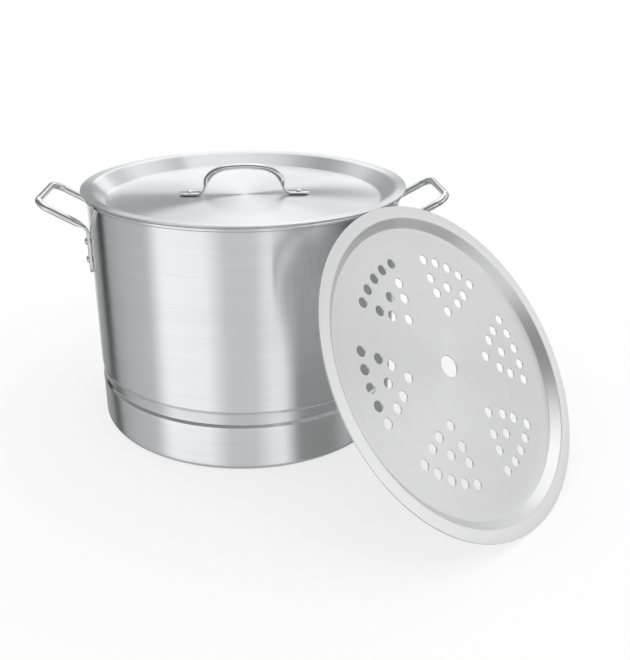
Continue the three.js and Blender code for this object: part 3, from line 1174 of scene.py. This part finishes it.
@dataclass
class Studio:
    """Camera, pale floor, soft lamp and the bright surroundings."""

    focal_pixels: float = 811.0
    eye: tuple[float, float, float] = (0.0, -0.967, 0.515)
    pitch: float = 21.0
    yaw: float = 3.0
    shift: tuple[float, float] = (0.046, -0.058)
    ambient: float = 0.92
    panel_turn: float = math.radians(4.5)
    panels: tuple[tuple[float, float], ...] = (
        (0.00, 0.64),
        (0.06, 0.66),
        (0.14, 1.04),
        (0.33, 1.10),
        (0.39, 0.56),
        (0.53, 0.48),
        (0.58, 0.43),
        (0.64, 0.42),
        (0.65, 0.02),
        (0.705, 0.02),
        (0.725, 0.36),
        (1.00, 0.34),
    )
    cards: tuple[Card, ...] = (
        Card((0.42, 0.73, 0.54), 6.0, 12.0, 0.5),
        Card((0.42, -0.9, -0.08), 6.0, 13.0, 0.3),
    )
    floor_radius: float = 6.0
    floor_grey: float = 0.96
    fade_from: float = 0.3
    fade_to: float = 0.8
    fade_near: float = 0.68
    lamp_place: tuple[float, float, float] = (0.2, -0.3, 2.4)
    lamp_target: tuple[float, float, float] = (0.0, 0.0, 0.15)
    lamp_size: float = 1.8
    lamp_power: float = 6.0

    def bands(self, canvas: Canvas, vector: bpy.types.NodeSocket) -> bpy.types.NodeSocket:
        """Bright and dark panels standing round the pot, by heading.

        Args:
            canvas: The tree to add to.
            vector: Direction or place round the pot's axis.

        Returns:
            The panels' colour.
        """
        parts = canvas.add("SeparateXYZ")
        canvas.join(vector, parts.inputs[0])
        ahead = canvas.times(parts.outputs["Y"], -1.0)
        turned = canvas.math("ARCTAN2", parts.outputs["X"], ahead)
        angle = canvas.math("ABSOLUTE", canvas.math("ADD", turned, self.panel_turn))
        ramp = canvas.add("ValToRGB")
        canvas.join(canvas.math("DIVIDE", angle, math.pi), ramp.inputs[0])
        elements = ramp.color_ramp.elements
        for place, _ in self.panels[1:-1]:
            elements.new(place)
        for element, (place, level) in zip(elements, self.panels):
            element.position = place
            element.color = grey(level)
        return ramp.outputs[0]

    def ground(
        self, canvas: Canvas, axes: list[bpy.types.NodeSocket], under: bpy.types.NodeSocket
    ) -> bpy.types.NodeSocket:
        """Adds the floor, the shade at the right and the wall beside the rack.

        Args:
            canvas: The tree to add to.
            axes: The ray's direction along X, Y and Z.
            under: Colour of the panels.

        Returns:
            The colour with the lower surroundings.
        """
        x, y, z = axes
        deep = canvas.mix(canvas.fall(z, -0.85, -0.6), under, grey(0.4))
        shade = canvas.times(canvas.rise(x, 0.4, 0.54), canvas.fall(z, -0.1, 0.05))
        shaded = canvas.mix(shade, deep, grey(0.25))
        beside = canvas.times(canvas.rise(x, 0.86, 0.93), canvas.fall(y, -0.12, -0.02))
        outer = canvas.math("MAXIMUM", canvas.rise(y, 0.8, 0.88), beside)
        pale = canvas.times(outer, canvas.fall(z, -0.12, -0.02))
        backed = canvas.mix(pale, shaded, grey(0.95))
        right = canvas.times(canvas.rise(x, 0.7, 0.95), canvas.rise(z, 0.05, 0.2))
        return canvas.mix(right, backed, grey(1.0))

    def ceiling(
        self, canvas: Canvas, axes: list[bpy.types.NodeSocket], under: bpy.types.NodeSocket
    ) -> bpy.types.NodeSocket:
        """Adds the bright slanted ceiling and the dark ring at its near left edge.

        Args:
            canvas: The tree to add to.
            axes: The ray's direction along X, Y and Z.
            under: Colour of the lower surroundings.

        Returns:
            The colour with the ceiling.
        """
        x, y, z = axes
        raised = canvas.math("ADD", z, canvas.times(y, 0.35))
        tilted = canvas.math("ADD", raised, canvas.spread(x, -0.3, 0.3, -0.08, 0.17))
        eased = canvas.times(canvas.spread(x, 0.28, 0.6, 1.0, 0.62), canvas.spread(z, 0.8, 0.95, 1.0, 0.8))
        behind = canvas.times(canvas.spread(y, 0.4, 0.75, 1.0, 1.1), eased)
        level = canvas.times(canvas.spread(y, -0.45, 0.3, 0.25, 1.19), behind)
        topped = canvas.mix(canvas.rise(tilted, 0.68, 0.73), under, level)
        leaning = canvas.math("SUBTRACT", z, canvas.times(x, 0.25))
        ring = canvas.times(canvas.rise(leaning, 0.12, 0.4), canvas.fall(z, 0.84, 0.93))
        slanted = canvas.math("ADD", y, canvas.times(x, 0.4))
        left = canvas.times(canvas.fall(x, 0.65, 0.85), canvas.fall(slanted, 0.1, 0.4))
        return canvas.mix(canvas.times(ring, left), topped, grey(0.2))

    def build_world(self) -> None:
        """White behind, soft panels in reflections and even light elsewhere."""
        world = bpy.data.worlds.new("studio_surround")
        bpy.context.scene.world = world
        world.use_nodes = True
        canvas = Canvas(world.node_tree)
        output = canvas.add("OutputWorld")
        light = canvas.add("Background")
        canvas.join(light.outputs[0], output.inputs[0])
        direction = canvas.add("TexCoord").outputs["Generated"]
        parts = canvas.add("SeparateXYZ")
        canvas.join(direction, parts.inputs[0])
        axes = [parts.outputs[name] for name in "XYZ"]
        lower = self.ground(canvas, axes, self.bands(canvas, direction))
        surround = self.ceiling(canvas, axes, lower)
        for card in self.cards:
            surround = card.lay(canvas, direction, surround)
        ray = canvas.add("LightPath")
        shown = canvas.mix(ray.outputs["Is Glossy Ray"], grey(self.ambient), surround)
        colour = canvas.mix(ray.outputs["Is Camera Ray"], shown, grey(1.0))
        canvas.join(colour, light.inputs[0])

    def build_floor(self) -> None:
        """Pale floor that keeps the shadow and fades to white far away."""
        mesh = bmesh.new()
        bmesh.ops.create_circle(mesh, cap_ends=True, segments=96, radius=self.floor_radius)
        data = bpy.data.meshes.new("floor")
        mesh.to_mesh(data)
        mesh.free()
        floor = bpy.data.objects.new("floor", data)
        bpy.context.scene.collection.objects.link(floor)
        floor.visible_glossy = False
        made = bpy.data.materials.new("pale_floor")
        made.use_nodes = True
        data.materials.append(made)
        canvas = Canvas(made.node_tree)
        output = canvas.add("OutputMaterial")
        matt = canvas.add("BsdfDiffuse")
        matt.inputs["Color"].default_value = grey(self.floor_grey)
        white = canvas.add("Emission")
        point = canvas.add("TexCoord").outputs["Object"]
        distance = canvas.vector("LENGTH", point).outputs["Value"]
        far = canvas.spread(distance, self.fade_from, self.fade_to, self.fade_near, 1.0)
        fade = canvas.times(far, canvas.add("LightPath").outputs["Is Camera Ray"])
        whole = canvas.add("MixShader")
        canvas.join(fade, whole.inputs[0])
        canvas.join(matt.outputs[0], whole.inputs[1])
        canvas.join(white.outputs[0], whole.inputs[2])
        canvas.join(whole.outputs[0], output.inputs[0])

    def build_lamp(self) -> None:
        """Hangs a square lamp that points at the pot."""
        data = bpy.data.lights.new("top_lamp", "AREA")
        data.size = self.lamp_size
        data.energy = self.lamp_power
        lamp = bpy.data.objects.new("top_lamp", data)
        lamp.location = self.lamp_place
        lamp.visible_camera = False
        lamp.rotation_mode = "QUATERNION"
        aim = Vector(self.lamp_target) - Vector(self.lamp_place)
        lamp.rotation_quaternion = aim.to_track_quat("-Z", "Y")
        bpy.context.scene.collection.objects.link(lamp)

    def build_camera(self) -> None:
        """Camera at the photograph's height, distance and slope."""
        data = bpy.data.cameras.new("camera")
        data.sensor_fit = "HORIZONTAL"
        data.sensor_width = SENSOR_WIDTH
        data.lens = SENSOR_WIDTH * self.focal_pixels / FRAME_WIDTH
        data.shift_x, data.shift_y = self.shift
        camera = bpy.data.objects.new("camera", data)
        camera.location = self.eye
        camera.rotation_euler = (math.radians(90 - self.pitch), 0, math.radians(-self.yaw))
        bpy.context.scene.collection.objects.link(camera)
        bpy.context.scene.camera = camera

    def build(self) -> None:
        """Builds the whole studio."""
        self.build_camera()
        self.build_world()
        self.build_floor()
        self.build_lamp()
        bpy.context.scene.view_settings.view_transform = "Standard"


def main() -> None:
    """Builds the studio and every piece of the pot."""
    logging.basicConfig(level=logging.INFO, format="%(message)s")
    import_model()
    Studio().build()
    sizes = PotSizes()
    spun = TurnedFinish("spun_wall")
    rods = PolishedFinish("polished_rod")
    studs = PolishedFinish("rivet_head", colour=0.82, shade=0.74, roughness=0.26)
    PotShell(sizes).build(spun)
    LidDish(sizes).build(TurnedFinish("spun_lid", colour=0.95, shade=0.92, roughness=0.31))
    rivets = Rivets()
    SideHandles(sizes).build(rods, studs, rivets)
    LidHandle(sizes).build(rods, studs, rivets)
    rack = SteamerRack(sizes)
    flange_foot = sizes.rack_radius - rack.flange
    satin = TurnedFinish(
        "satin_rack",
        colour=0.93,
        shade=0.90,
        warm=-0.002,
        roughness=0.42,
        stretch=0.4,
        smooth_from=flange_foot,
    )
    rack.build(satin)


if __name__ == "__main__":
    main()
